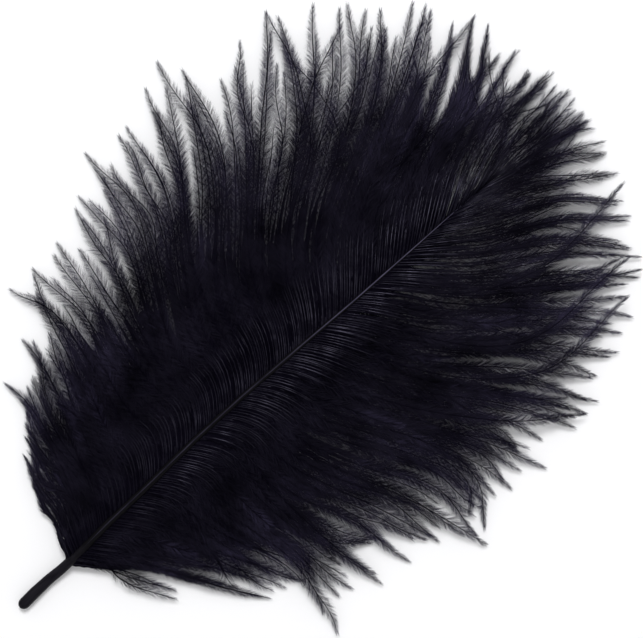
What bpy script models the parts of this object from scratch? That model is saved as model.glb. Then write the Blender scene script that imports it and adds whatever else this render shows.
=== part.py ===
"""A black-dyed ostrich feather lying on a table: bare quill, tapering shaft and two loose, drooping vanes.

+Y runs along the shaft from the quill's end to the tip, +X is across it and +Z is up. The origin is the
middle of the feather's footprint on the table.
"""
import math

import bmesh
import bpy
from mathutils import Vector

MM = 0.001

# The shaft, in millimetres: distance from the quill's end, sideways bow, height of its middle, radius.
# The quill's end is a blunt club, the bare quill narrows, and the part that carries the barbs tapers.
SHAFT = [
    (0.0, 0.0, 1.40, 0.70),
    (0.5, 0.0, 1.38, 1.15),
    (1.6, 0.0, 1.35, 1.50),
    (5.0, -0.2, 1.35, 1.50),
    (9.5, -0.3, 1.22, 1.36),
    (14.0, -0.1, 1.90, 1.25),
    (20.0, -0.2, 3.6, 1.20),
    (31.0, -0.8, 6.0, 1.05),
    (45.0, -1.2, 8.6, 0.95),
    (60.0, -1.8, 10.6, 0.85),
    (75.0, -1.9, 11.7, 0.78),
    (92.0, -1.5, 11.9, 0.70),
    (110.0, -1.0, 10.9, 0.62),
    (130.0, -0.8, 8.6, 0.52),
    (145.0, -0.7, 6.6, 0.42),
    (156.0, -0.5, 5.2, 0.30),
]
SHAFT_SIDES = 10

# The locks, in millimetres: the bend (across, along), the tip (across, along, height of its middle above
# the table) and the greatest width. Negative across is the left vane, seen from above.
LEFT_LOCKS = [
    (-13.4, 20.4, -20.3, 22.5, 0.5, 5.0),
    (-17.5, 23.3, -26.8, 25.4, 0.8, 6.0),
    (-23.5, 28.5, -31.9, 30.7, 0.4, 7.0),
    (-35.9, 34.6, -42.6, 33.7, 0.9, 6.5),
    (-33.0, 38.5, -38.5, 41.2, 0.5, 7.5),
    (-36.5, 42.8, -47.7, 44.0, 0.4, 8.0),
    (-34.5, 45.5, -44.4, 49.8, 0.8, 8.0),
    (-43.5, 52.5, -58.0, 56.1, 0.4, 7.5),
    (-44.5, 54.1, -59.1, 50.6, 0.9, 7.5),
    (-43.5, 59.0, -59.0, 58.3, 0.5, 7.5),
    (-43.5, 63.5, -59.7, 65.9, 0.7, 7.0),
    (-45.9, 67.5, -54.7, 68.9, 0.5, 7.0),
    (-47.0, 72.5, -62.8, 74.5, 0.8, 7.5),
    (-49.5, 77.5, -64.6, 77.1, 0.4, 7.5),
    (-47.6, 80.4, -64.5, 84.2, 0.8, 6.0),
    (-51.0, 84.8, -71.3, 85.7, 0.4, 6.0),
    (-50.0, 86.5, -64.9, 88.5, 0.9, 6.5),
    (-51.5, 90.5, -69.1, 93.9, 0.5, 7.0),
    (-54.0, 94.8, -69.2, 98.2, 0.8, 7.0),
    (-54.1, 99.0, -67.3, 104.7, 0.4, 6.0),
    (-55.0, 101.0, -72.8, 107.7, 0.8, 6.0),
    (-48.5, 103.5, -68.7, 115.8, 0.9, 6.0),
    (-53.0, 108.5, -76.8, 113.3, 0.4, 6.0),
    (-51.8, 112.0, -70.5, 117.4, 0.8, 6.0),
    (-48.0, 113.5, -62.3, 122.2, 0.5, 6.0),
    (-46.0, 116.5, -67.2, 130.5, 0.4, 6.0),
    (-46.5, 121.5, -67.3, 141.4, 0.8, 7.0),
    (-44.5, 125.5, -56.5, 134.5, 0.6, 7.0),
    (-45.5, 132.5, -64.6, 142.5, 0.4, 6.5),
    (-42.6, 134.2, -60.9, 151.0, 0.9, 6.5),
    (-39.0, 138.5, -56.0, 155.4, 0.4, 7.0),
    (-38.5, 144.5, -51.4, 159.4, 0.8, 7.0),
    (-35.0, 147.0, -48.6, 162.8, 0.5, 7.0),
    (-32.8, 150.5, -45.2, 169.2, 0.4, 7.0),
    (-29.5, 155.0, -41.1, 171.1, 0.8, 7.0),
    (-25.5, 158.5, -34.7, 173.2, 0.5, 7.0),
    (-20.5, 160.0, -32.6, 177.0, 0.8, 6.5),
    (-18.0, 164.5, -28.8, 179.3, 0.4, 5.5),
    (-13.5, 162.0, -20.0, 179.7, 0.8, 5.5),
    (-8.0, 166.8, -11.0, 182.2, 0.4, 5.5),
    (-3.2, 168.5, -4.0, 183.7, 0.8, 5.5),
]
RIGHT_LOCKS = [
    (12.6, 24.9, 22.5, 30.8, 0.8, 3.6),
    (15.0, 31.0, 24.9, 36.4, 0.5, 5.5),
    (20.0, 34.5, 30.5, 41.5, 0.4, 7.0),
    (28.0, 39.0, 39.2, 46.5, 0.4, 6.5),
    (26.7, 43.0, 35.0, 47.6, 0.8, 8.0),
    (30.0, 46.5, 39.5, 51.0, 0.5, 8.5),
    (34.3, 51.5, 41.5, 55.5, 0.4, 8.5),
    (36.5, 58.8, 55.9, 52.3, 0.9, 8.0),
    (39.9, 60.8, 50.6, 62.7, 0.4, 7.5),
    (43.0, 66.8, 54.3, 69.8, 0.8, 7.5),
    (39.3, 71.0, 45.8, 75.5, 0.5, 7.5),
    (44.5, 75.6, 55.3, 77.4, 0.4, 7.0),
    (44.9, 80.5, 53.7, 84.7, 0.8, 7.0),
    (45.5, 85.2, 56.1, 85.9, 0.4, 7.0),
    (48.5, 90.3, 65.1, 93.8, 0.8, 7.0),
    (47.0, 94.0, 61.3, 94.9, 0.4, 6.0),
    (46.5, 98.0, 57.6, 99.9, 0.8, 6.5),
    (51.5, 103.0, 61.7, 97.2, 0.5, 6.5),
    (48.6, 106.5, 58.5, 107.9, 0.4, 6.0),
    (48.5, 110.0, 56.7, 112.4, 0.8, 6.0),
    (48.9, 112.6, 60.3, 117.1, 0.4, 6.0),
    (43.0, 113.0, 53.0, 115.5, 0.9, 6.0),
    (44.5, 117.9, 54.6, 121.2, 0.4, 6.0),
    (45.5, 122.5, 58.1, 128.8, 0.8, 6.0),
    (46.5, 127.0, 57.0, 133.8, 0.4, 6.5),
    (46.0, 132.0, 56.4, 137.9, 0.8, 7.0),
    (42.5, 137.0, 51.9, 141.6, 0.4, 7.0),
    (41.5, 141.0, 50.8, 149.4, 0.8, 6.0),
    (38.3, 144.8, 48.4, 152.6, 0.4, 6.0),
    (36.5, 148.5, 47.2, 157.0, 0.8, 6.0),
    (33.0, 147.5, 42.5, 159.8, 0.4, 6.0),
    (30.3, 149.5, 40.1, 162.0, 0.8, 6.0),
    (29.5, 153.5, 40.9, 165.3, 0.4, 6.0),
    (25.5, 156.5, 37.6, 168.9, 0.8, 6.0),
    (22.0, 158.0, 34.2, 168.4, 0.5, 6.0),
    (18.5, 161.3, 28.4, 173.6, 0.4, 5.5),
    (14.5, 164.0, 24.6, 174.4, 0.8, 5.5),
    (11.5, 166.5, 18.6, 178.0, 0.4, 5.5),
    (6.5, 167.5, 13.2, 178.9, 0.8, 5.5),
    (1.8, 169.5, 4.5, 181.8, 0.5, 5.5),
]

# Where the locks leave the shaft: the number of a lock, counted from the quill, and its distance from the
# quill's end. The locks between two rows are evenly spaced.
LEFT_ROOTS = [(0, 16.5), (5, 27.0), (10, 56.0), (20, 72.0), (33, 105.0), (40, 152.0)]
RIGHT_ROOTS = [(0, 16.0), (4, 22.0), (8, 53.0), (17, 79.0), (23, 90.0), (35, 128.0), (39, 152.0)]

# How a lock sets off, by its root's distance from the quill's end in millimetres: the angle at which it
# leaves the shaft, the angle under which its shoulder stands, the shoulder's distance and the lock's own
# angle there. Angles are in degrees from the shaft's direction.
LEFT_TURNS = [
    (16.0, 68.0, 71.0, 9.0, 68.0),
    (26.0, 50.0, 58.0, 11.0, 62.0),
    (43.0, 45.0, 63.0, 12.5, 96.0),
    (53.0, 45.0, 63.0, 12.5, 106.0),
    (73.0, 45.0, 63.0, 12.5, 88.0),
    (93.0, 45.0, 58.0, 13.0, 70.0),
    (103.0, 45.0, 50.0, 14.5, 50.0),
    (122.0, 40.0, 39.0, 17.5, 30.0),
    (140.0, 28.0, 30.0, 18.0, 26.0),
    (154.0, 8.0, 10.0, 8.0, 8.0),
]
RIGHT_TURNS = [
    (16.0, 46.0, 50.0, 10.0, 53.0),
    (28.0, 44.0, 50.0, 11.0, 54.0),
    (43.0, 45.0, 63.0, 12.0, 96.0),
    (53.0, 45.0, 64.0, 12.5, 102.0),
    (73.0, 45.0, 63.0, 12.5, 88.0),
    (83.0, 45.0, 60.0, 12.5, 72.0),
    (103.0, 45.0, 53.0, 13.5, 58.0),
    (122.0, 42.0, 44.0, 15.0, 46.0),
    (133.0, 30.0, 32.0, 16.0, 30.0),
    (142.0, 14.0, 18.0, 14.0, 16.0),
    (154.0, 8.0, 10.0, 8.0, 8.0),
]
FARTHEST_SHOULDER = 0.6  # of the way to the bend, on a short lock

# A lock is a flat lens across, widest up to its middle. The share of its greatest width at each share of
# its length, and its thickness as a share of its width:
LOCK_WIDTHS = [(0.0, 0.8), (0.14, 1.0), (0.3, 1.0), (0.5, 1.0), (0.72, 0.86), (0.9, 0.46), (1.0, 0.15)]
LOCK_THICKNESS_RATIO = 0.34

# A lock leaves the shaft under its middle, so that the shaft stands proud. From there it rises over the
# straight line to its tip, most of all near the shaft, and droops to the table.
ROOT_DEPTH = 0.5
DROOP_POWER = 1.5
LOCK_RISE = 2.2
RISE_FADE = 0.4

# The middle of the footprint, measured from the quill's end along the shaft's chord.
FOOTPRINT_X = -5.87
FOOTPRINT_Y = 91.88

FEATHER_COLOUR = (0.0075, 0.0065, 0.0105, 1.0)
FEATHER_ROUGHNESS = 0.62
SHARP_ANGLE = math.radians(50.0)

# In millimetres: points nearer to each other than this are one point, and the sides of the block that cuts
# at the table.
WELD_DISTANCE = 0.002
TABLE_SIDE = 300.0
TABLE_DEPTH = 20.0


def place(x, y, z):
    """A point given from the quill's end in millimetres, in the part's own frame in metres."""
    return Vector(((x - FOOTPRINT_X) * MM, (y - FOOTPRINT_Y) * MM, z * MM))


def between(rows, value, column):
    """A column's value, read in a straight line between the rows that stand on both sides of a value."""
    for lower, upper in zip(rows, rows[1:]):
        if value <= upper[0]:
            share = max(0.0, (value - lower[0]) / (upper[0] - lower[0]))
            return lower[column] + (upper[column] - lower[column]) * share
    return rows[-1][column]


def rooted(locks, roots):
    """The locks with the distance of each one's root put first."""
    return [(between(roots, number, 1), *lock) for number, lock in enumerate(locks)]


def hermite(start, start_slope, end, end_slope, share):
    """A point of the cubic with these ends and end slopes."""
    s2, s3 = share * share, share * share * share
    return (
        start * (2 * s3 - 3 * s2 + 1)
        + start_slope * (s3 - 2 * s2 + share)
        + end * (3 * s2 - 2 * s3)
        + end_slope * (s3 - s2)
    )


def heading(side, degrees):
    """The direction that stands at an angle from the shaft's, to the left for side -1 and right for 1."""
    angle = math.radians(degrees)
    return Vector((side * math.sin(angle), math.cos(angle)))


def lock_plan(lock):
    """The points and slopes of a lock's middle line in plan: shaft, shoulder, bend and tip."""
    root_y, bend_x, bend_y, tip_x, tip_y = lock[:5]
    side = math.copysign(1.0, bend_x)
    turns = RIGHT_TURNS if side > 0 else LEFT_TURNS
    leaving, standing, distance, turned = (between(turns, root_y, column) for column in (1, 2, 3, 4))
    root = Vector((between(SHAFT, root_y, 1), root_y))
    bend = Vector((bend_x, bend_y))
    tip = Vector((tip_x, tip_y))
    shoulder = root + min(distance, FARTHEST_SHOULDER * (bend - root).length) * heading(side, standing)
    at_bend = ((bend - shoulder).normalized() + (tip - bend).normalized()).normalized()
    arriving = (tip - bend).normalized()
    return [root, shoulder, bend, tip], [heading(side, leaving), heading(side, turned), at_bend, arriving]


def lock_point(lock, share):
    """A point on a lock's middle line, at a share of its length."""
    points, slopes = lock_plan(lock)
    lengths = [(end - start).length for start, end in zip(points, points[1:])]
    left = share * sum(lengths)
    leg = 0
    while leg < len(lengths) - 1 and left > lengths[leg]:
        left -= lengths[leg]
        leg += 1
    length = lengths[leg]
    leaving, arriving = slopes[leg] * length, slopes[leg + 1] * length
    plan = hermite(points[leg], leaving, points[leg + 1], arriving, left / length)
    root_z = between(SHAFT, lock[0], 2) - ROOT_DEPTH
    droop = root_z + (lock[5] - root_z) * share**DROOP_POWER
    rise = LOCK_RISE * math.sin(math.pi * share) * (1 - RISE_FADE * share)
    return place(plan.x, plan.y, droop + rise)


def add_collection(name):
    """A new collection in the scene."""
    collection = bpy.data.collections.new(name)
    bpy.context.scene.collection.children.link(collection)
    return collection


def add_profile(name, points, collection):
    """A closed flat outline, used as the section of a curve."""
    curve = bpy.data.curves.new(name, "CURVE")
    curve.dimensions = "2D"
    spline = curve.splines.new("POLY")
    spline.points.add(len(points) - 1)
    for point, (x, y) in zip(spline.points, points):
        point.co = (x * MM, y * MM, 0.0, 1.0)
    spline.use_cyclic_u = True
    profile = bpy.data.objects.new(name, curve)
    profile.hide_render = True
    profile.display_type = "WIRE"
    collection.objects.link(profile)
    return profile


def add_swept(name, lines, profile, collection):
    """A curve object with one spline a line of (point, radius), swept with the profile."""
    curve = bpy.data.curves.new(name, "CURVE")
    curve.dimensions = "3D"
    curve.twist_mode = "Z_UP"
    curve.bevel_mode = "OBJECT"
    curve.bevel_object = profile
    curve.use_fill_caps = True
    for line in lines:
        spline = curve.splines.new("POLY")
        spline.points.add(len(line) - 1)
        for point, (place_of, radius) in zip(spline.points, line):
            point.co = (*place_of, 1.0)
            point.radius = radius
    swept = bpy.data.objects.new(name, curve)
    collection.objects.link(swept)
    return swept


def as_mesh(curve_object, collection):
    """The swept curve as a closed mesh object with its caps welded on."""
    bpy.context.view_layer.update()
    evaluated = curve_object.evaluated_get(bpy.context.evaluated_depsgraph_get())
    mesh = bpy.data.meshes.new_from_object(evaluated)
    solid = bpy.data.objects.new(curve_object.name + "_solid", mesh)
    solid.matrix_world = curve_object.matrix_world
    collection.objects.link(solid)
    bpy.data.objects.remove(curve_object)
    shape = bmesh.new()
    shape.from_mesh(mesh)
    bmesh.ops.remove_doubles(shape, verts=shape.verts, dist=WELD_DISTANCE * MM)
    bmesh.ops.recalc_face_normals(shape, faces=shape.faces)
    shape.to_mesh(mesh)
    shape.free()
    return solid


def hide_tool(tool):
    """A cutter never shows in a render."""
    tool.hide_render = True
    tool.display_type = "WIRE"


def apply_boolean(target, tool, operation, own_crossings=False):
    """Joins or cuts for good, so that the next step works on the result."""
    modifier = target.modifiers.new(operation.lower(), "BOOLEAN")
    modifier.object = tool
    modifier.operation = operation
    modifier.solver = "EXACT"
    modifier.use_self = own_crossings
    bpy.context.view_layer.update()
    evaluated = target.evaluated_get(bpy.context.evaluated_depsgraph_get())
    mesh = bpy.data.meshes.new_from_object(evaluated)
    target.modifiers.clear()
    target.data = mesh


def add_shaft(tools):
    """The quill and the shaft, as one tapering round rod."""
    angles = [2 * math.pi * k / SHAFT_SIDES for k in range(SHAFT_SIDES)]
    circle = [(math.cos(angle), math.sin(angle)) for angle in angles]
    profile = add_profile("shaft_section", circle, tools)
    line = [(place(x, y, z), radius) for y, x, z, radius in SHAFT]
    return as_mesh(add_swept("shaft", [line], profile, tools), tools)


def add_locks(tools):
    """All the locks of both vanes, swept with one lens-shaped section."""
    half = LOCK_THICKNESS_RATIO / 2
    lens = [(0.5, 0.0), (0.0, half), (-0.5, 0.0), (0.0, -half)]
    profile = add_profile("lock_section", lens, tools)
    lines = []
    for lock in rooted(LEFT_LOCKS, LEFT_ROOTS) + rooted(RIGHT_LOCKS, RIGHT_ROOTS):
        lines.append([(lock_point(lock, share), width * lock[6]) for share, width in LOCK_WIDTHS])
    return as_mesh(add_swept("locks", lines, profile, tools), tools)


def keep_outer_skin(solid):
    """Drops sealed pockets and stray slivers between crossing locks: only the outer skin stays."""
    shape = bmesh.new()
    shape.from_mesh(solid.data)
    bmesh.ops.triangulate(shape, faces=shape.faces)
    found = set()
    skins = []
    for first in shape.faces:
        if first in found:
            continue
        found.add(first)
        skin, waiting = [], [first]
        while waiting:
            face = waiting.pop()
            skin.append(face)
            shared = [edge for edge in face.edges if len(edge.link_faces) == 2]
            for other in (other for edge in shared for other in edge.link_faces):
                if other not in found:
                    found.add(other)
                    waiting.append(other)
        skins.append(skin)
    skins.sort(key=len)
    for skin in skins[:-1]:
        bmesh.ops.delete(shape, geom=skin, context="FACES")
    loose = [vert for vert in shape.verts if not vert.link_faces]
    bmesh.ops.delete(shape, geom=loose, context="VERTS")
    shape.to_mesh(solid.data)
    shape.free()


def trim_at_table(solid, tools):
    """Nothing reaches below the table: the locks that touch it are flat underneath."""
    bpy.ops.mesh.primitive_cube_add(size=1.0, location=(0.0, 0.0, -TABLE_DEPTH * MM / 2))
    table = bpy.context.object
    table.name = "table_cut"
    table.scale = (TABLE_SIDE * MM, TABLE_SIDE * MM, TABLE_DEPTH * MM)
    for linked in list(table.users_collection):
        linked.objects.unlink(table)
    tools.objects.link(table)
    hide_tool(table)
    apply_boolean(solid, table, "DIFFERENCE")


def feather_material():
    """The near-black dye, which both the quill and the barbs have taken up."""
    material = bpy.data.materials.new("dyed_barbs")
    material.use_nodes = True
    shader = material.node_tree.nodes["Principled BSDF"]
    shader.inputs["Base Color"].default_value = FEATHER_COLOUR
    shader.inputs["Roughness"].default_value = FEATHER_ROUGHNESS
    shader.inputs["Metallic"].default_value = 0.0
    return material


def add_feather(parts, tools):
    """The whole feather: the shaft with the locks fused to it, flat where it lies on the table."""
    feather = add_shaft(tools)
    locks = add_locks(tools)
    hide_tool(locks)
    apply_boolean(feather, locks, "UNION", own_crossings=True)
    trim_at_table(feather, tools)
    keep_outer_skin(feather)
    feather.name = "feather"
    feather.data.name = "feather"
    tools.objects.unlink(feather)
    parts.objects.link(feather)
    feather.data.materials.clear()
    feather.data.materials.append(feather_material())
    feather.data.shade_smooth()
    feather.data.set_sharp_from_angle(angle=SHARP_ANGLE)


def main():
    for existing in list(bpy.data.objects):
        bpy.data.objects.remove(existing)
    parts = add_collection("ostrich_feather")
    tools = add_collection("cutters")
    add_feather(parts, tools)


main()
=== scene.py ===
"""The looks of a black-dyed ostrich feather that lies on a white table, seen from straight above.

Every barb is modelled as a fine tapering stem with soft side hairs. The barbs leave the shaft one by one
and gather into pointed locks towards their tips, over the same lines as the solid's locks.
"""
import math

import bpy
import numpy as np
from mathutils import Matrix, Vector


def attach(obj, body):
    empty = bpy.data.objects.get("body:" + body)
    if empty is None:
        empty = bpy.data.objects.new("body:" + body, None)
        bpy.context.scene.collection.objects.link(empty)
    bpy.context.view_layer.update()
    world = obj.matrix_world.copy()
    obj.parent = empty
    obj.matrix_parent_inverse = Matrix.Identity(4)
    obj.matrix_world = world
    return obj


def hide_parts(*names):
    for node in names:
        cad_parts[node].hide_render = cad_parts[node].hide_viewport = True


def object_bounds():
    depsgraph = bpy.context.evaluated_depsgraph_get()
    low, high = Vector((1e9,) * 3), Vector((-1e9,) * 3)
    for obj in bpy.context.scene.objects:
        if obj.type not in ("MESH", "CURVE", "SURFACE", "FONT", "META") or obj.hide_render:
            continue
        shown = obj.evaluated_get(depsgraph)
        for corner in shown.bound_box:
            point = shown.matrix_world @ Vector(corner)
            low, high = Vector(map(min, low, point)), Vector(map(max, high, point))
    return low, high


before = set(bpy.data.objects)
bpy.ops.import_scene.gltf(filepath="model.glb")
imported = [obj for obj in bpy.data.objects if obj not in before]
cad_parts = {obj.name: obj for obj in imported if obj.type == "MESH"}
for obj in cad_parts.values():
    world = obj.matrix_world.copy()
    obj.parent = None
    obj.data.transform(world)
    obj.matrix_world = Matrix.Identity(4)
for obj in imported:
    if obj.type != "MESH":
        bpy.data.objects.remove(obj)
cad_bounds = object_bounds()

MM = 0.001
SEED = 4127

# The shaft, in millimetres: distance from the quill's end, sideways bow, height of its middle, radius.
SHAFT = [
    (0.0, 0.0, 1.40, 0.70),
    (0.5, 0.0, 1.38, 1.15),
    (1.6, 0.0, 1.45, 1.42),
    (5.0, -0.2, 1.45, 1.42),
    (9.5, -0.3, 1.40, 1.30),
    (14.0, -0.1, 1.90, 1.22),
    (20.0, -0.2, 3.6, 1.15),
    (31.0, -0.8, 6.0, 1.00),
    (45.0, -1.2, 8.6, 0.90),
    (60.0, -1.8, 10.6, 0.80),
    (75.0, -1.9, 11.7, 0.72),
    (92.0, -1.5, 11.9, 0.64),
    (110.0, -1.0, 10.9, 0.55),
    (130.0, -0.8, 8.6, 0.44),
    (145.0, -0.7, 6.6, 0.34),
    (156.0, -0.5, 5.2, 0.20),
]

# The locks, in millimetres: the bend (across, along) and the tip (across, along, height above the table).
# Negative across is the left vane, seen from above.
LEFT_LOCKS = [
    (-13.4, 20.4, -20.3, 22.5, 0.5),
    (-17.5, 23.3, -26.8, 25.4, 0.8),
    (-23.5, 28.5, -31.9, 30.7, 0.4),
    (-35.9, 34.6, -42.6, 33.7, 0.9),
    (-33.0, 38.5, -38.5, 41.2, 0.5),
    (-36.5, 42.8, -47.7, 44.0, 0.4),
    (-34.5, 45.5, -44.4, 49.8, 0.8),
    (-43.5, 52.5, -58.0, 56.1, 0.4),
    (-44.5, 54.1, -59.1, 50.6, 0.9),
    (-43.5, 59.0, -59.0, 58.3, 0.5),
    (-43.5, 63.5, -59.7, 65.9, 0.7),
    (-45.9, 67.5, -54.7, 68.9, 0.5),
    (-47.0, 72.5, -62.8, 74.5, 0.8),
    (-49.5, 77.5, -64.6, 77.1, 0.4),
    (-47.6, 80.4, -64.5, 84.2, 0.8),
    (-51.0, 84.8, -71.3, 85.7, 0.4),
    (-50.0, 86.5, -64.9, 88.5, 0.9),
    (-51.5, 90.5, -69.1, 93.9, 0.5),
    (-54.0, 94.8, -69.2, 98.2, 0.8),
    (-54.1, 99.0, -67.3, 104.7, 0.4),
    (-55.0, 101.0, -72.8, 107.7, 0.8),
    (-48.5, 103.5, -68.7, 115.8, 0.9),
    (-53.0, 108.5, -76.8, 113.3, 0.4),
    (-51.8, 112.0, -70.5, 117.4, 0.8),
    (-48.0, 113.5, -62.3, 122.2, 0.5),
    (-46.0, 116.5, -67.2, 130.5, 0.4),
    (-46.5, 121.5, -67.3, 141.4, 0.8),
    (-44.5, 125.5, -56.5, 134.5, 0.6),
    (-45.5, 132.5, -64.6, 142.5, 0.4),
    (-42.6, 134.2, -60.9, 151.0, 0.9),
    (-39.0, 138.5, -56.0, 155.4, 0.4),
    (-38.5, 144.5, -51.4, 159.4, 0.8),
    (-35.0, 147.0, -48.6, 162.8, 0.5),
    (-32.8, 150.5, -45.2, 169.2, 0.4),
    (-29.5, 155.0, -41.1, 171.1, 0.8),
    (-25.5, 158.5, -34.7, 173.2, 0.5),
    (-20.5, 160.0, -32.6, 177.0, 0.8),
    (-18.0, 164.5, -28.8, 179.3, 0.4),
    (-13.5, 162.0, -20.0, 179.7, 0.8),
    (-8.0, 166.8, -11.0, 182.2, 0.4),
    (-3.2, 168.5, -4.0, 183.7, 0.8),
]
RIGHT_LOCKS = [
    (12.6, 24.9, 22.5, 30.8, 0.8),
    (15.0, 31.0, 24.9, 36.4, 0.5),
    (20.0, 34.5, 30.5, 41.5, 0.4),
    (28.0, 39.0, 39.2, 46.5, 0.4),
    (26.7, 43.0, 35.0, 47.6, 0.8),
    (30.0, 46.5, 39.5, 51.0, 0.5),
    (34.3, 51.5, 41.5, 55.5, 0.4),
    (36.5, 58.8, 55.9, 52.3, 0.9),
    (39.9, 60.8, 50.6, 62.7, 0.4),
    (43.0, 66.8, 54.3, 69.8, 0.8),
    (39.3, 71.0, 45.8, 75.5, 0.5),
    (44.5, 75.6, 55.3, 77.4, 0.4),
    (44.9, 80.5, 53.7, 84.7, 0.8),
    (45.5, 85.2, 56.1, 85.9, 0.4),
    (48.5, 90.3, 65.1, 93.8, 0.8),
    (47.0, 94.0, 61.3, 94.9, 0.4),
    (46.5, 98.0, 57.6, 99.9, 0.8),
    (51.5, 103.0, 61.7, 97.2, 0.5),
    (48.6, 106.5, 58.5, 107.9, 0.4),
    (48.5, 110.0, 56.7, 112.4, 0.8),
    (48.9, 112.6, 60.3, 117.1, 0.4),
    (43.0, 113.0, 53.0, 115.5, 0.9),
    (44.5, 117.9, 54.6, 121.2, 0.4),
    (45.5, 122.5, 58.1, 128.8, 0.8),
    (46.5, 127.0, 57.0, 133.8, 0.4),
    (46.0, 132.0, 56.4, 137.9, 0.8),
    (42.5, 137.0, 51.9, 141.6, 0.4),
    (41.5, 141.0, 50.8, 149.4, 0.8),
    (38.3, 144.8, 48.4, 152.6, 0.4),
    (36.5, 148.5, 47.2, 157.0, 0.8),
    (33.0, 147.5, 42.5, 159.8, 0.4),
    (30.3, 149.5, 40.1, 162.0, 0.8),
    (29.5, 153.5, 40.9, 165.3, 0.4),
    (25.5, 156.5, 37.6, 168.9, 0.8),
    (22.0, 158.0, 34.2, 168.4, 0.5),
    (18.5, 161.3, 28.4, 173.6, 0.4),
    (14.5, 164.0, 24.6, 174.4, 0.8),
    (11.5, 166.5, 18.6, 178.0, 0.4),
    (6.5, 167.5, 13.2, 178.9, 0.8),
    (1.8, 169.5, 4.5, 181.8, 0.5),
]

# Where the locks leave the shaft: the number of a lock, counted from the quill, and its distance from the
# quill's end. The locks between two rows are evenly spaced.
LEFT_ROOTS = [(0, 16.5), (5, 27.0), (10, 56.0), (20, 72.0), (33, 105.0), (40, 152.0)]
RIGHT_ROOTS = [(0, 16.0), (4, 22.0), (8, 53.0), (17, 79.0), (23, 90.0), (35, 128.0), (39, 152.0)]

# Single barbs that stand apart from the locks: the distance of the root, then the columns of a lock.
LEFT_STRAYS = [
    (21.0, -19.5, 25.5, -29.5, 28.5, 1.2),
    (23.0, -18.0, 25.0, -26.5, 26.8, 2.0),
    (24.2, -24.5, 29.5, -34.0, 32.6, 1.0),
    (25.2, -26.5, 31.8, -36.6, 34.8, 1.4),
    (26.0, -28.0, 33.5, -38.0, 37.2, 1.2),
    (26.6, -29.0, 36.0, -39.0, 39.6, 1.6),
    (27.5, -33.0, 39.5, -45.4, 45.5, 1.6),
    (60.0, -44.0, 72.0, -55.4, 78.3, 2.6),
    (75.0, -59.1, 103.9, -69.5, 110.6, 1.4),
    (86.0, -49.4, 118.4, -61.6, 128.7, 1.6),
    (93.0, -39.9, 130.7, -66.3, 141.4, 2.8),
    (97.0, -36.7, 136.1, -55.7, 136.8, 4.0),
    (95.0, -46.1, 137.3, -52.8, 150.9, 3.4),
    (100.0, -40.7, 146.2, -54.9, 157.3, 1.6),
    (104.0, -33.4, 147.1, -44.7, 159.9, 1.4),
    (108.0, -35.4, 159.4, -42.5, 170.7, 1.8),
    (113.0, -28.3, 156.3, -32.7, 177.6, 2.2),
    (141.0, -9.5, 160.0, -19.6, 179.8, 2.4),
    (148.0, -9.1, 166.8, -9.8, 182.7, 1.6),
    (151.0, -5.5, 170.0, -6.9, 181.2, 1.2),
    (152.0, -0.6, 168.9, -1.7, 182.3, 1.6),
    (153.6, -2.0, 166.0, -5.4, 180.6, 1.6),
    (154.2, -1.4, 167.0, -3.1, 178.5, 1.8),
    (154.8, -0.9, 167.0, -0.9, 178.0, 1.4),
]
RIGHT_STRAYS = [
    (87.0, 44.5, 117.5, 56.7, 133.1, 3.0),
    (94.5, 35.5, 126.6, 51.6, 140.6, 1.4),
    (96.0, 41.0, 131.0, 42.7, 159.7, 4.4),
    (104.0, 33.0, 133.0, 35.4, 165.7, 4.6),
    (18.0, 11.0, 23.0, 24.0, 29.5, 1.6),
    (57.0, 38.8, 63.5, 44.1, 64.9, 2.2),
    (61.0, 41.0, 67.0, 51.4, 69.5, 1.6),
    (58.5, 40.3, 68.4, 44.8, 74.8, 2.0),
    (66.0, 44.0, 82.5, 53.7, 85.5, 1.4),
    (77.0, 44.5, 99.6, 55.6, 101.0, 1.2),
    (80.0, 49.6, 103.8, 56.7, 104.0, 1.6),
    (85.0, 46.2, 115.6, 51.4, 115.6, 1.8),
    (93.0, 45.2, 126.1, 53.0, 130.8, 1.6),
    (94.0, 45.2, 126.1, 50.4, 131.9, 2.0),
    (101.0, 41.7, 139.0, 50.3, 146.7, 1.4),
    (115.0, 22.9, 147.8, 21.5, 176.8, 5.0),
    (117.0, 30.9, 152.0, 39.6, 166.4, 2.2),
    (118.0, 32.0, 157.0, 34.7, 165.0, 1.6),
    (126.0, 24.0, 158.5, 33.6, 167.2, 1.2),
    (130.0, 19.0, 161.5, 28.7, 172.0, 1.4),
    (135.0, 15.0, 163.5, 24.1, 172.8, 1.8),
    (149.0, 4.9, 168.9, 12.6, 178.9, 1.2),
    (150.5, 4.1, 177.0, 6.8, 181.2, 1.2),
    (148.5, 6.4, 172.4, 10.5, 180.5, 1.6),
    (154.8, 0.2, 167.0, 0.6, 180.4, 1.8),
    (154.4, 0.7, 167.0, 2.5, 181.7, 1.4),
    (153.8, 1.5, 166.5, 4.6, 180.9, 1.6),
]

# The middle of the footprint, measured from the quill's end along the shaft's chord, and the distance in
# metres of the shaft's line from it.
FOOTPRINT = np.array([-5.87, 91.88, 0.0])
SHAFT_LINE_X = 0.0049

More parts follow.
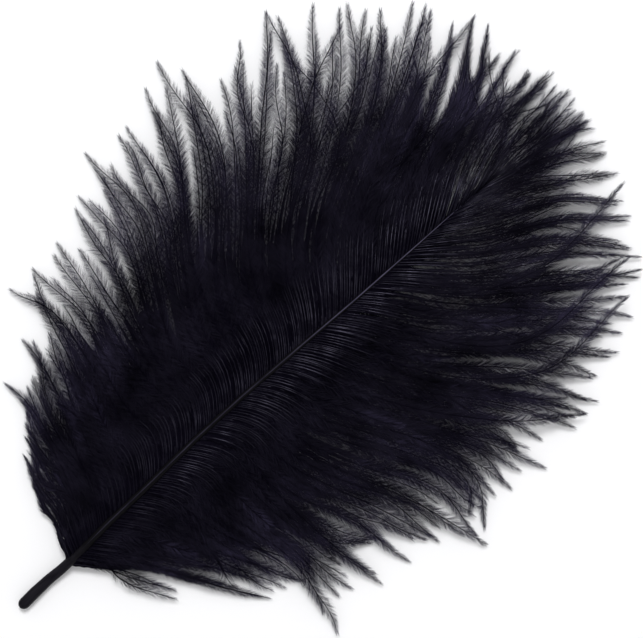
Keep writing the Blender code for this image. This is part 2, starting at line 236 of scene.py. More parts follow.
# How a barb sets off, by its distance from the quill's end in millimetres: the angle at which it leaves the
# shaft, the angle under which its shoulder stands, the shoulder's distance and the barb's own angle there.
LEFT_TURNS = [
    (16.0, 68.0, 71.0, 9.0, 68.0),
    (26.0, 50.0, 58.0, 11.0, 62.0),
    (43.0, 45.0, 63.0, 12.5, 96.0),
    (53.0, 45.0, 63.0, 12.5, 106.0),
    (73.0, 45.0, 63.0, 12.5, 88.0),
    (93.0, 45.0, 58.0, 13.0, 70.0),
    (103.0, 45.0, 50.0, 14.5, 50.0),
    (122.0, 40.0, 39.0, 17.5, 30.0),
    (140.0, 28.0, 30.0, 18.0, 26.0),
    (154.0, 8.0, 10.0, 8.0, 8.0),
    (155.0, 0.0, 0.0, 8.0, 0.0),
]
RIGHT_TURNS = [
    (16.0, 46.0, 50.0, 10.0, 53.0),
    (28.0, 44.0, 50.0, 11.0, 54.0),
    (43.0, 45.0, 63.0, 12.0, 96.0),
    (53.0, 45.0, 64.0, 12.5, 102.0),
    (73.0, 45.0, 63.0, 12.5, 88.0),
    (83.0, 45.0, 60.0, 12.5, 72.0),
    (103.0, 45.0, 53.0, 13.5, 58.0),
    (122.0, 42.0, 44.0, 15.0, 46.0),
    (133.0, 30.0, 32.0, 16.0, 30.0),
    (142.0, 14.0, 18.0, 14.0, 16.0),
    (154.0, 8.0, 10.0, 8.0, 8.0),
    (155.0, 0.0, 0.0, 8.0, 0.0),
]
FARTHEST_SHOULDER = 0.6  # of the way to the bend, on a short barb

# Heights, in millimetres. A barb crests near the shaft and then droops to its tip.
CREST_RISE = 1.15
CREST_SHARE = 0.12  # of the barb's length, where the crest is highest
CREST_SCATTER = 0.26
DROOP_POWER = 1.35
ARCH_SCATTER = 0.35  # how far single barbs rise or sink at their middle
BUNCH_ARCH = 0.45  # how far whole bunches of barbs do
LOCK_CROWN = 0.5  # how far a lock's middle stands above its sides
STRAY_ARCH = 0.5

# How far barbs lie aside of their line, in millimetres.
WANDER = 0.36
WAVES = 3
WAVE_RATE = (1.0, 3.6)  # turns over a barb's length
FAN = 1.8  # at the tip
LOCK_SPREAD = 3.2  # between one lock and the next, for barbs that have gathered
SPREAD_SCATTER = 0.3
SPREAD_NARROWING = 0.6  # what the spread has lost at the tip
BUNCH_SHIFT = 1.3  # of whole bunches, a little past their middle
BUNCH_PITCH = 1.3  # locks from one bunch to the next
STRAY_WANDER = 0.25
STRAY_WAVES = 2

# The barbs lie stiffly next to the quill and near the feather's tip. Each pair is a stretch of the shaft.
QUILL_LOOSENESS = 0.3
QUILL_STRETCH = (22.0, 45.0)
TIP_STIFFNESS = 0.65
TIP_STRETCH = (105.0, 130.0)

# Barbs: how far apart they leave the shaft, and how far each kind reaches along its lock's line. Drifting
# barbs leave their own lock for one nearby. Gathering starts and ends at shares of a barb's length.
BARB_PITCH = 0.72
FEWEST_BARBS_A_LOCK = 3
QUILL_BARBS_A_LOCK = 5
QUILL_END = 26.0
ROOT_SCATTER = 0.25  # of the way to the next barb
LEADER_REACH = 0.995
COMMON_REACH = (0.48, 0.82)
SECOND_REACH = (0.86, 0.97)
DRIFTING_REACH = (0.72, 0.94)
DRIFTING_SHARE = 0.24
DRIFTING_PULL = (0.7, 1.0)
GATHER_START = (0.25, 0.55)
GATHER_END = (0.80, 1.0)
LINE_STATIONS = 81
STATIONS = 28

# The shaft as a tube: its end is round, it is a little flat along its top, and it clears the table.
SHAFT_SIDES = 20
QUILL_RADIUS = 1.42
QUILL_ROUNDING = 1.6
QUILL_STATIONS = [0.0, 0.12, 0.3, 0.6, 1.0, 1.6, 2.4, 3.4]
EVEN_FROM = 5.0
SHAFT_STATIONS = 152
FLAT_DEPTH = 0.10
FLAT_SPREAD = 0.12
TABLE_GAP = 0.02

# The ridge along the top of the shaft, a thin strip that carries a painted highlight. Its place aside and up
# is a share of the shaft's radius.
RIDGE_FROM = 20.0
RIDGE_TO = 152.0
RIDGE_STATIONS = 140
RIDGE_WIDTH = 0.34
RIDGE_WIDENS_OVER = 12.0
RIDGE_NARROWS_FROM = 110.0
RIDGE_NARROWING = 0.5
RIDGE_ASIDE = -0.12
RIDGE_UP = 0.91
RIDGE_FLATNESS = 0.5

# Stems: widths in millimetres, and the share of a barb's length where the glossy part of its stem ends.
STEM_WIDTH = 0.26
STEM_TIP_WIDTH = 0.22
STEM_POINT = 0.03
STEM_TAPER_POWER = 0.8
STEM_GIRTH = (0.85, 1.15)
GLOSSY_UNTIL = (0.26, 0.44)

# Webs: widths and depths in millimetres, and the shares of a barb's length over which they widen and taper.
WEB_HALF_WIDTH = 1.0
WEB_ROOT_SHARE = 0.74
WEB_WIDENS = (0.08, 0.32)
WEB_TAPER = 0.44
WEB_END_SCATTER = 0.12
WEB_RAGGED = (0.6, 1.3)
WEB_DEPTH = 0.55
WEB_BELOW_STEM = 0.05
NARROWEST_WEB = 0.02
FRINGE_HALF_WIDTH = 0.20
FRINGE_POWER = 0.35

# Over the first of these stretches of the shaft the webs and hairs grow to their full size, and over the
# second one the webs get narrower again.
THIN_BASE = (17.0, 29.0)
THIN_TIP = (112.0, 140.0)
BASE_WEB_SHARE = 0.7
BASE_HAIR_SHARE = 0.75
TIP_WEB_LOSS = 0.4

# Where hairs grow. Near the shaft few do, then more, and outwards all of them. A leading barb has more hairs.
ROOT_HAIRS = 0.12
MIDDLE_HAIRS = 0.32
MIDDLE_HAIRS_FROM = (0.06, 0.2)
OUTER_HAIRS = 0.56
OUTER_HAIRS_FROM = (0.36, 0.60)
LEADER_HAIRS = 0.8
LEADING_REACH = (0.86, 1.0)
TUFTS_PER_MM = 1.7
MOST_TUFTS_A_BARB = 1000

# The length of hairs, in millimetres, short next to the shaft and at the barb's tip.
HAIR_LENGTH = 3.7
BARB_FULLNESS = (0.85, 1.12)
ROOT_HAIR_LENGTH = 0.18
LONG_HAIRS_FROM = (0.05, 0.26)
TIP_SHORTENING = 0.60
SHORTENING_FROM = (0.80, 1.0)
HAIR_LENGTH_SCATTER = (0.62, 1.08)

# The slant of hairs, in degrees: how unlike they stand, by tuft and one by one, how they close at the barb's
# tip and how they lift off the barb's plane. Tufts lean together, and hairs sag by a share of their length.
TUFT_TURN = 3
HAIR_TURN = 4
CLOSING = 0.1
CLOSING_FROM = (0.85, 0.97)
TIP_CLOSING = 0.55
TIP_CLOSING_FROM = (0.965, 1.0)
TUFT_LIFT = 16
HAIR_LIFT = 12
COMMON_LIFT = 8
COMMON_LIFT_FROM = (0.05, 0.2)
TUFT_LEAN = 0.35
HAIR_SAG = 0.08

# The shape of a hair: a sliver, wider where hairs stand less open and where its barb is near the shaft. Some
# are widest at their root.
HAIR_WIDTHS = ((20.0, 44.0), (0.035, 0.024))  # how wide they stand open, and their width in millimetres
HAIR_WIDTH_SCATTER = (0.8, 1.2)
THIN_HAIRS_FROM = (0.45, 0.85)
HAIR_ROLL = 0.7
WIDEST_AT_ROOT = 0.35  # of the hairs
WIDEST_AT = (0.35, 0.75)
# Outwards along a barb more and more hairs take the lighter end colour, painted light shining through the
# thin hairs.
LIT_THROUGH_FROM = (0.52, 0.9)

# How each vane changes along the shaft, by the root's distance from the quill's end: how wide the hairs stand
# open (degrees from their barb), how many there are to a millimetre and how far along a barb its web reaches.
# The pull says how strongly the barbs that don't lead a lock are drawn towards its line.
LEFT_VANE = {
    "opening": [(16.0, 14.0), (20.0, 18.0), (30.0, 40.0), (95.0, 44.0), (125.0, 24.0)],
    "hairs": [(16.0, 36.0), (127.0, 36.0), (136.0, 28.0), (140.0, 13.0), (154.0, 18.0)],
    "web_ends": [
        (18.0, 0.52),
        (30.0, 0.66),
        (55.0, 0.66),
        (74.0, 0.58),
        (86.0, 0.52),
        (105.0, 0.47),
        (118.0, 0.46),
        (126.0, 0.58),
        (135.0, 0.52),
        (140.0, 0.24),
        (152.0, 0.20),
    ],
    "pull": (0.1, 0.65),
}
RIGHT_VANE = {
    "opening": [(16.0, 30.0), (24.0, 36.0), (85.0, 33.0), (120.0, 24.0)],
    "hairs": [(16.0, 26.0), (35.0, 32.0), (55.0, 40.0), (105.0, 42.0), (135.0, 22.0)],
    "web_ends": [
        (18.0, 0.52),
        (30.0, 0.66),
        (50.0, 0.70),
        (62.0, 0.62),
        (80.0, 0.50),
        (100.0, 0.43),
        (125.0, 0.32),
        (150.0, 0.22),
    ],
    "pull": (0.1, 0.85),
}

# Each colour wanders between a darker and a lighter shade: dye on the stems, webs, hairs and quill, and
# painted light on the hair ends and the ridge.
STEM_DYE = ((0.0022, 0.0017, 0.0044), (0.0070, 0.0062, 0.0118))
STEM_END_DYE = ((0.0016, 0.0012, 0.0032), (0.0060, 0.0052, 0.0100))
WEB_DYE = ((0.0012, 0.0009, 0.0026), (0.0036, 0.0030, 0.0064))
HAIR_DYE = ((0.0024, 0.0019, 0.0052), (0.0135, 0.0116, 0.0232))
# The hair ends' shades are painted light shining through the thin dyed hairs, lighter and more violet than
# the dye.
HAIR_END_PAINTED_LIGHT = ((0.0100, 0.0084, 0.0200), (0.0400, 0.0345, 0.0700))
QUILL_DYE = ((0.0030, 0.0025, 0.0042), (0.0100, 0.0090, 0.0125))
# The ridge's shades are a painted highlight, lighter than the dye around it.
RIDGE_HIGHLIGHT_SHADES = ((0.017, 0.015, 0.028), (0.050, 0.045, 0.072))
VIOLET_GLOSS = (0.76, 0.72, 1.0, 1.0)

# Where the stems shine, each as a range of distances in metres and what it gives: the gloss grows off the
# shaft and grows along the feather. Outwards it fades to an end that is nearer towards the feather's tip.
# The patches are a range of noise and the gloss that it gives.
GLOSS_OFF_SHAFT = ((0.0005, 0.0045), (0.3, 1.0))
GLOSS_FADES_FROM = 0.004
GLOSS_END = ((0.025, 0.062), (0.014, 0.011))
GLOSS_ALONG = ((-0.062, -0.010), (0.12, 0.85))
GLOSS_PATCHES = ((0.42, 0.70), (0.2, 1.6))

# How strong the colours of the shaft and its ridge are along the feather, given in the same way: the shaft's
# colour is brighter at the bare quill as a painted sheen and darker among the vanes, and the ridge's painted
# highlight grows brighter towards the feather's tip.
QUILL_PAINTED_SHEEN = ((-0.078, -0.068), (1.3, 0.45))
RIDGE_HIGHLIGHT_STRENGTH = ((-0.004, 0.020), (0.5, 1.7))

# The studio, in metres: a white table, an even tent of white light, one large lamp and the camera above.
TABLE_SIZE = 6.0
TABLE_HEIGHT = -0.0001
TABLE_WHITE = (0.925, 0.925, 0.94, 1.0)
TENT_STRENGTH = 0.62
LAMP_PLACE = (-0.55, 0.50, 1.3)
LAMP_SIZE = 0.5
LAMP_POWER = 13.5
CAMERA_PLACE = (0.00288, 0.0094, 0.435)
CAMERA_TURN = 48.0  # degrees
CAMERA_LENS = 100.0  # millimetres, as the sensor's width
SENSOR_WIDTH = 36.0


def eased(value, start, end):
    """0 before start, 1 after end and a smooth step between."""
    share = np.clip((value - start) / (end - start), 0.0, 1.0)
    return share * share * (3 - 2 * share)


def unit(vectors):
    return vectors / np.maximum(np.linalg.norm(vectors, axis=-1, keepdims=True), 1e-12)


def rooted(locks, roots):
    """The locks with the distance of each one's root put first."""
    numbers, distances = np.array(roots).T
    return [(float(np.interp(number, numbers, distances)), *lock) for number, lock in enumerate(locks)]


def along_shaft(y, column):
    rows = np.array(SHAFT)
    return np.interp(y, rows[:, 0], rows[:, column])


def heading(side, degrees):
    """The direction that stands at an angle from the shaft's, to the left for side -1 and right for 1."""
    angle = math.radians(degrees)
    return np.array([side * math.sin(angle), math.cos(angle)])


def hermite(start, start_slope, end, end_slope, share):
    s2, s3 = share**2, share**3
    return (
        start * (2 * s3 - 3 * s2 + 1)
        + start_slope * (s3 - 2 * s2 + share)
        + end * (3 * s2 - 2 * s3)
        + end_slope * (s3 - s2)
    )


def lock_line(lock, shares):
    """Points of a lock's middle line at shares of its length, in millimetres from the quill's end."""
    root_y, bend_x, bend_y, tip_x, tip_y, tip_z = lock
    side = math.copysign(1.0, bend_x)
    turns = np.array(RIGHT_TURNS if side > 0 else LEFT_TURNS)
    leaving, standing, distance, turned = (np.interp(root_y, turns[:, 0], turns[:, n]) for n in (1, 2, 3, 4))
    root = np.array([along_shaft(root_y, 1), root_y])
    bend, tip = np.array([bend_x, bend_y]), np.array([tip_x, tip_y])
    distance = min(distance, FARTHEST_SHOULDER * np.linalg.norm(bend - root))
    shoulder = root + distance * heading(side, standing)
    points = [root, shoulder, bend, tip]
    slopes = [
        heading(side, leaving),
        heading(side, turned),
        unit(unit(bend - shoulder) + unit(tip - bend)),
        unit(tip - bend),
    ]
    lengths = np.array([np.linalg.norm(end - start) for start, end in zip(points, points[1:])])
    ends = np.concatenate([[0.0], np.cumsum(lengths)])
    travelled = shares * ends[-1]
    plan = np.zeros((len(shares), 2))
    for leg in range(3):
        inside = (travelled >= ends[leg]) & (travelled <= ends[leg + 1])
        part = ((travelled[inside] - ends[leg]) / lengths[leg])[:, None]
        start, end = points[leg], points[leg + 1]
        plan[inside] = hermite(start, slopes[leg] * lengths[leg], end, slopes[leg + 1] * lengths[leg], part)
    root_z = along_shaft(root_y, 2)
    height = root_z + (tip_z - root_z) * shares**DROOP_POWER + CREST_RISE * crest(shares)
    return np.column_stack([plan, height])


def crest(shares):
    """A hump of height 1 near the shaft that dies away towards the tip."""
    return shares / CREST_SHARE * np.exp(1 - shares / CREST_SHARE)


def waviness(rng, count, shares, waves):
    """Slow sideways wander for each of count barbs, growing towards the tip."""
    phase = rng.uniform(0, 2 * math.pi, (count, waves))
    rate = rng.uniform(*WAVE_RATE, (count, waves))
    swing = rng.normal(0, 1, (count, waves))
    angles = 2 * math.pi * rate[:, :, None] * shares[None, None, :] + phase[:, :, None]
    return (swing[:, :, None] * np.sin(angles)).sum(1) * shares[None, :]


def barb_places(locks, rng):
    """Where each barb stands among its vane's locks, counted in locks from the quill."""
    roots = [lock[0] for lock in locks]
    places = []
    for index, (start, end) in enumerate(zip(roots, roots[1:])):
        fewest = QUILL_BARBS_A_LOCK if start < QUILL_END else FEWEST_BARBS_A_LOCK
        count = max(fewest, round((end - start) / BARB_PITCH))
        places.extend(index + (np.arange(count) + 0.5 + rng.normal(0, ROOT_SCATTER, count)) / count)
    return np.array(places)


def nearest_barbs(place, own, locks):
    """Which barbs lie nearest to their lock's line, and which come next."""
    leaders, seconds = np.zeros(len(place), bool), np.zeros(len(place), bool)
    for lock in range(locks):
        members = np.flatnonzero(own == lock)
        nearest = members[np.argsort(np.abs(place[members] - lock))]
        leaders[nearest[0]] = True
        seconds[nearest[1:2]] = True
    return leaders, seconds


def barb_reaches(leaders, seconds, drifting, rng):
    """How far along its line each barb goes."""
    reach = rng.uniform(*COMMON_REACH, len(leaders))
    reach[seconds] = rng.uniform(*SECOND_REACH, seconds.sum())
    reach[drifting] = rng.uniform(*DRIFTING_REACH, drifting.sum())
    reach[leaders] = LEADER_REACH
    return reach


def gathering(full, pulls, leaders, drifting, rng):
    """How much each barb has moved from its own line to its lock's, at shares of its length."""
    pull = rng.uniform(*pulls, len(leaders))
    pull[drifting] = rng.uniform(*DRIFTING_PULL, drifting.sum())
    pull[leaders] = 1.0
    start = rng.uniform(*GATHER_START, len(leaders))[:, None]
    end = rng.uniform(*GATHER_END, len(leaders))[:, None]
    return eased(full[None, :], start, end) * pull[:, None]


def looseness(roots):
    """How freely barbs wander, by the distance of their roots."""
    off_quill = QUILL_LOOSENESS + (1 - QUILL_LOOSENESS) * eased(roots, *QUILL_STRETCH)
    return off_quill * (1 - TIP_STIFFNESS * eased(roots, *TIP_STRETCH))


def between_locks(place, lines):
    """The lines of barbs before they gather, each between the lines of the two locks beside it."""
    lower = np.clip(np.floor(place).astype(int), 0, len(lines) - 2)
    part = (place - lower)[:, None, None]
    return lines[lower] * (1 - part) + lines[lower + 1] * part


def across_lines(lines):
    """Unit vectors across each line, in plan."""
    forward = unit(np.gradient(lines[:, :, :2], axis=1))
    return np.stack([forward[..., 1], -forward[..., 0]], axis=-1)


def arch_barbs(paths, full, offset, gather, bunches, rng):
    """Raises and lowers the barbs: at their middle, at their crest and where they lie on their lock."""
    arch = np.sin(math.pi * full)[None, :]
    paths[..., 2] += (rng.normal(0, ARCH_SCATTER, len(paths))[:, None] + BUNCH_ARCH * bunches) * arch
    crests = rng.normal(0, CREST_SCATTER, len(paths))[:, None] + CREST_SCATTER * bunches
    paths[..., 2] += crests * crest(full)[None, :]
    paths[..., 2] += (1 - np.clip(np.abs(offset) * 2, 0, 1) ** 2)[:, None] * gather * LOCK_CROWN


def vane_barbs(locks, pulls, rng):
    """The lines of one vane's barbs, as an array of barb, station and xyz, with their roots and reaches."""
    place = np.clip(barb_places(locks, rng), 0, len(locks) - 1)
    number = len(place)
    own = np.clip(np.rint(place).astype(int), 0, len(locks) - 1)
    offset = place - own
    leaders, seconds = nearest_barbs(place, own, len(locks))
    roots = np.interp(place, np.arange(len(locks)), [lock[0] for lock in locks])
    drifting = (rng.uniform(0, 1, number) < DRIFTING_SHARE) & ~leaders & ~seconds & (roots > QUILL_END)
    target = np.clip(own + drifting * rng.choice([-2, -1, 1, 2], number), 0, len(locks) - 1)
    reach = barb_reaches(leaders, seconds, drifting, rng)

    full = np.linspace(0, 1, LINE_STATIONS)
    lines = np.array([lock_line(lock, full) for lock in locks])
    across = across_lines(lines)
    gather = gathering(full, pulls, leaders, drifting, rng)
    fan = np.where(leaders, 0.0, rng.normal(0, FAN, number))[:, None] * full[None, :] ** 3
    beside = (offset * LOCK_SPREAD + rng.normal(0, SPREAD_SCATTER, number)) * ~leaders
    spread = beside[:, None] * (1.0 - SPREAD_NARROWING * full[None, :] ** 2)
    gathered = lines[target]
    gathered[..., :2] += across[target] * spread[..., None]
    paths = between_locks(place, lines) * (1 - gather[..., None]) + gathered * gather[..., None]

    loose = looseness(roots)[:, None]
    wander = (waviness(rng, number, full, WAVES) * WANDER + fan) * loose
    paths[..., :2] += across[own] * wander[..., None]
    knots = np.arange(0, len(locks), BUNCH_PITCH)
    bunches = np.interp(place, knots, rng.normal(0, 1, len(knots)))[:, None]
    shifts = np.interp(place, knots, rng.normal(0, BUNCH_SHIFT, len(knots)))[:, None]
    shifted = shifts * np.sin(math.pi * full)[None, :] * loose * full[None, :] * ~leaders[:, None]
    paths[..., :2] += across[own] * shifted[..., None]
    arch_barbs(paths, full, offset, gather, bunches, rng)
    return resample(paths, full, reach), roots, reach


def resample(paths, shares, reach):
    """Each line cut off at its own reach and read at evenly spaced stations."""
    steps = np.linspace(0, 1, STATIONS)[None, :] * reach[:, None]
    count = np.arange(len(paths))[:, None]
    at = steps * (len(shares) - 1)
    lower = np.clip(np.floor(at).astype(int), 0, len(shares) - 2)
    part = (at - lower)[..., None]
    return paths[count, lower] * (1 - part) + paths[count, lower + 1] * part


def stray_barbs(strays, rng):
    """The lines of the single barbs that stand apart."""
    shares = np.linspace(0, 1, STATIONS)
    lines = np.array([lock_line(stray, shares) for stray in strays])
    lines[..., :2] += (waviness(rng, len(strays), shares, STRAY_WAVES) * STRAY_WANDER)[..., None]
    lines[..., 2] += STRAY_ARCH * np.sin(math.pi * shares)[None, :]
    return lines


def frames(paths):
    """Forward, sideways and upward unit vectors along each line."""
    forward = unit(np.gradient(paths, axis=1))
    up = np.array([0.0, 0.0, 1.0])
    sideways = unit(np.cross(forward, up))
    return forward, sideways, np.cross(sideways, forward)


def stem_mesh(paths, rng):
    """A four-sided tapering stem along each line, and which of its faces are past the glossy part."""
    _, sideways, upward = frames(paths)
    shares = np.linspace(0, 1, STATIONS)
    girth = rng.uniform(*STEM_GIRTH, len(paths))[:, None]
    width = (STEM_WIDTH + (STEM_TIP_WIDTH - STEM_WIDTH) * shares**STEM_TAPER_POWER)[None, :] * girth
    width[:, -1] = STEM_POINT
    half = width[..., None] / 2
    corners = [paths + sideways * half, paths + upward * half, paths - sideways * half, paths - upward * half]
    ring = np.stack(corners, axis=2)
    count = len(paths)
    index = np.arange(count * STATIONS * 4).reshape(count, STATIONS, 4)
    near, far = index[:, :-1], index[:, 1:]
    quads = np.stack([near, np.roll(near, -1, axis=2), np.roll(far, -1, axis=2), far], axis=-1)
    glossy_until = rng.uniform(*GLOSSY_UNTIL, count)[:, None, None] * np.ones((1, STATIONS - 1, 4))
    matt = shares[None, :-1, None] > glossy_until
    return ring.reshape(-1, 3), quads.reshape(-1, 4), matt.reshape(-1).astype(int)


def web_widths(roots, reach, web_ends, rng):
    """Half the width of each barb's web at its stations."""
    shares = np.linspace(0, 1, STATIONS)[None, :]
    last = (web_ends + rng.uniform(-WEB_END_SCATTER, WEB_END_SCATTER, len(roots)))[:, None] / reach[:, None]
    widening = WEB_ROOT_SHARE + (1 - WEB_ROOT_SHARE) * eased(shares, *WEB_WIDENS)
    width = WEB_HALF_WIDTH * widening * (1 - eased(shares, last - WEB_TAPER, last))
    off_quill = BASE_WEB_SHARE + (1 - BASE_WEB_SHARE) * eased(roots, *THIN_BASE)
    fullness = off_quill * (1 - TIP_WEB_LOSS * eased(roots, *THIN_TIP))
    return np.maximum(width * fullness[:, None], FRINGE_HALF_WIDTH * (1 - shares) ** FRINGE_POWER)


def web_mesh(paths, roots, reach, web_ends, rng):
    """The matted side hairs next to each stem, as a dark strip that slopes down on both sides of it."""
    _, sideways, upward = frames(paths)
    width = web_widths(roots, reach, web_ends, rng)
    ragged = rng.uniform(*WEB_RAGGED, (2,) + width.shape)
    drop = upward * (-WEB_DEPTH * width / WEB_HALF_WIDTH)[..., None]
    left = paths + sideways * (width * ragged[0])[..., None] + drop
    right = paths - sideways * (width * ragged[1])[..., None] + drop
    ring = np.stack([left, paths - upward * WEB_BELOW_STEM, right], axis=2)
    index = np.arange(len(paths) * STATIONS * 3).reshape(len(paths), STATIONS, 3)
    used = (width[:, :-1] > NARROWEST_WEB)[..., None]
    near, far = index[:, :-1], index[:, 1:]
    quads = np.stack([near[..., :2], near[..., 1:], far[..., 1:], far[..., :2]], axis=-1)
    return ring.reshape(-1, 3), quads[np.broadcast_to(used, quads.shape[:3])]


def hair_places(lengths, reach, hairs, rng):
    """Where hairs grow: the number of the barb, the share of its length, and whether on its right side."""
    leading = eased(reach, *LEADING_REACH)
    counts = (lengths * hairs * (1 + LEADER_HAIRS * leading)).astype(int)
    barb = np.repeat(np.arange(len(lengths)), counts)
    share = rng.uniform(0.0, 1.0, len(barb))
    outer = eased(share, *OUTER_HAIRS_FROM)
    wanted = ROOT_HAIRS + MIDDLE_HAIRS * eased(share, *MIDDLE_HAIRS_FROM) + OUTER_HAIRS * outer
    wanted = wanted / (1 + LEADER_HAIRS * leading[barb] * (1 - outer))
    kept = rng.uniform(0.0, 1.0, len(barb)) < wanted
    right = rng.uniform(0.0, 1.0, kept.sum()) < 0.5
    return barb[kept], share[kept], right


def tufts_of(barb, travelled, right):
    """The number of each hair's tuft and how far the hair grows from its middle; the two sides alternate."""
    tuft = np.rint(travelled * TUFTS_PER_MM + 0.5 * right)
    from_middle = travelled - (tuft - 0.5 * right) / TUFTS_PER_MM
    _, number = np.unique((barb * MOST_TUFTS_A_BARB + tuft) * 2 + right, return_inverse=True)
    return number, from_middle


def hair_lengths(barb, share, roots, rng):
    off_quill = 1 - (1 - BASE_HAIR_SHARE) * (1 - eased(roots, *THIN_BASE))
    fullness = (rng.uniform(*BARB_FULLNESS, len(roots)) * off_quill)[barb]
    off_shaft = ROOT_HAIR_LENGTH + (1 - ROOT_HAIR_LENGTH) * eased(share, *LONG_HAIRS_FROM)
    to_tip = 1 - TIP_SHORTENING * eased(share, *SHORTENING_FROM)
    return HAIR_LENGTH * fullness * off_shaft * to_tip * rng.uniform(*HAIR_LENGTH_SCATTER, len(share))


def hair_angles(tuft, share, opening, rng):
    """How wide each hair stands open from its barb and how far it lifts, in radians."""
    tufts, number = tuft.max() + 1, len(tuft)
    angle = opening + rng.normal(0, TUFT_TURN, tufts)[tuft] + rng.normal(0, HAIR_TURN, number)
    closed = CLOSING * eased(share, *CLOSING_FROM) + TIP_CLOSING * eased(share, *TIP_CLOSING_FROM)
    lift = rng.normal(0, TUFT_LIFT, tufts)[tuft] + rng.normal(0, HAIR_LIFT, number)
    lift += COMMON_LIFT * eased(share, *COMMON_LIFT_FROM)
    return np.radians(angle) * (1 - closed), np.radians(lift)


def hair_widths(barb, share, opening, rng):
    """The width of each hair, and how far along the hair it is widest."""
    number = len(share)
    width = np.interp(opening, *HAIR_WIDTHS)[barb] * rng.uniform(*HAIR_WIDTH_SCATTER, number)
    width = width * (2 - eased(share, *THIN_HAIRS_FROM))
    at_root = rng.uniform(0.0, 1.0, number) < WIDEST_AT_ROOT
    return width, np.where(at_root, 0.0, rng.uniform(*WIDEST_AT, number))


def hair_mesh(paths, roots, reach, opening, hairs, rng, box):
    """Soft side hairs of each barb: slivers that leave it sideways in small tufts, slanted to its tip."""
    forward, sideways, upward = frames(paths)
    lengths = np.linalg.norm(np.diff(paths, axis=1), axis=2).sum(1)
    barb, share, right = hair_places(lengths, reach, hairs, rng)
    number = len(barb)
    side = np.where(right, 1.0, -1.0)
    tuft, from_tuft = tufts_of(barb, share * lengths[barb], right)

    at = share * (STATIONS - 1)
    lower = np.clip(np.floor(at).astype(int), 0, STATIONS - 2)
    part = (at - lower)[:, None]

    def along(values):
        return values[barb, lower] * (1 - part) + values[barb, lower + 1] * part

    base, ahead, aside, above = along(paths), unit(along(forward)), unit(along(sideways)), unit(along(upward))

    length = hair_lengths(barb, share, roots, rng)
    angle, lift = hair_angles(tuft, share, opening[barb], rng)
    outwards = aside * (side * np.cos(lift))[:, None] + above * np.sin(lift)[:, None]
    run = ahead * np.cos(angle)[:, None] + outwards * np.sin(angle)[:, None]
    end = base + run * length[:, None] - ahead * (TUFT_LEAN * from_tuft)[:, None]
    end[:, 2] -= HAIR_SAG * length
    flat = unit(np.cross(run, above)) * side[:, None]
    roll = rng.normal(0, HAIR_ROLL, number)
    across = flat * np.cos(roll)[:, None] + np.cross(flat, run) * np.sin(roll)[:, None]
    width, widest_at = hair_widths(barb, share, opening, rng)
    widest = base + (end - base) * widest_at[:, None] + across * width[:, None]
    points = np.stack([base, widest, end], axis=1)
    points[..., 2] = np.maximum(points[..., 2], box[0][2])
    # Hairs towards a barb's tip take the hair ends' painted light, shining through them.
    lit_through = rng.uniform(0.0, 1.0, number) < eased(share, *LIT_THROUGH_FROM)
    inside = ((points > box[0] - 1e-9) & (points < box[1])).all(axis=(1, 2))
    points, lit_through = points[inside], lit_through[inside]
    return points.reshape(-1, 3), np.arange(len(points) * 3).reshape(-1, 3), lit_through


def add_mesh(name, parts, materials):
    """A mesh object from parts: points in millimetres from the quill's end, faces and their materials."""
    points, corners, sizes, finish = [], [], [], []
    offset = 0
    for part_points, faces, order in parts:
        points.append(part_points)
        corners.append((faces + offset).reshape(-1))
        sizes.append(np.full(len(faces), faces.shape[1]))
        finish.append(np.broadcast_to(order, len(faces)))
        offset += len(part_points)
    points, corners = (np.concatenate(points) - FOOTPRINT) * MM, np.concatenate(corners)
    sizes, finish = np.concatenate(sizes), np.concatenate(finish)
    starts = np.concatenate([[0], np.cumsum(sizes)[:-1]])
    mesh = bpy.data.meshes.new(name)
    mesh.vertices.add(len(points))
    mesh.vertices.foreach_set("co", points.astype(np.float32).ravel())
    mesh.loops.add(len(corners))
    mesh.loops.foreach_set("vertex_index", corners.astype(np.int32))
    mesh.polygons.add(len(sizes))
    mesh.polygons.foreach_set("loop_start", starts.astype(np.int32))
    for material in materials:
        mesh.materials.append(material)
    mesh.polygons.foreach_set("material_index", finish.astype(np.int32))
    mesh.update(calc_edges=True)
    mesh.shade_smooth()
    piece = bpy.data.objects.new(name, mesh)
    bpy.context.scene.collection.objects.link(piece)
    return piece


def dress(piece):
    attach(piece, "root")
    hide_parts("feather")


def add_vane_piece(name, barbs, rng, box, materials):
    """One piece of a vane: its stems (glossy, then matt), webs and hairs (dark, then lighter outwards with
    painted light shining through them).
    """
    paths, roots, reach = barbs["paths"], barbs["roots"], barbs["reach"]
    stems, webs = stem_mesh(paths, rng), web_mesh(paths, roots, reach, barbs["web_ends"], rng)
    hairs = hair_mesh(paths, roots, reach, barbs["opening"], barbs["hairs"], rng, box)
    dress(add_mesh(name, [stems, (*webs, 2), (*hairs[:2], 3 + hairs[2])], materials))


def add_vane(side, locks, strays, traits, rng, box, materials):
    """One vane in three pieces, split along the shaft so that they hold about equal lengths of barb."""
    paths, roots, reach = vane_barbs(locks, traits["pull"], rng)
    paths = np.concatenate([paths, stray_barbs(strays, rng)])
    roots = np.concatenate([roots, [stray[0] for stray in strays]])
    reach = np.concatenate([reach, np.ones(len(strays))])
    order = np.argsort(roots, kind="stable")
    barbs = {"paths": np.clip(paths[order], box[0], box[1]), "roots": roots[order], "reach": reach[order]}
    for name in ("opening", "hairs", "web_ends"):
        barbs[name] = np.interp(barbs["roots"], *np.array(traits[name]).T)
    lengths = np.linalg.norm(np.diff(barbs["paths"], axis=1), axis=2).sum(1)
    share = np.cumsum(lengths) / lengths.sum()
    for part, start, end in zip(("base", "middle", "tip"), (0, 1 / 3, 2 / 3), (1 / 3, 2 / 3, 1.01)):
        inside = (share > start) & (share <= end)
        chosen = {name: values[inside] for name, values in barbs.items()}
        add_vane_piece(f"vane_{side}_{part}", chosen, rng, box, materials)


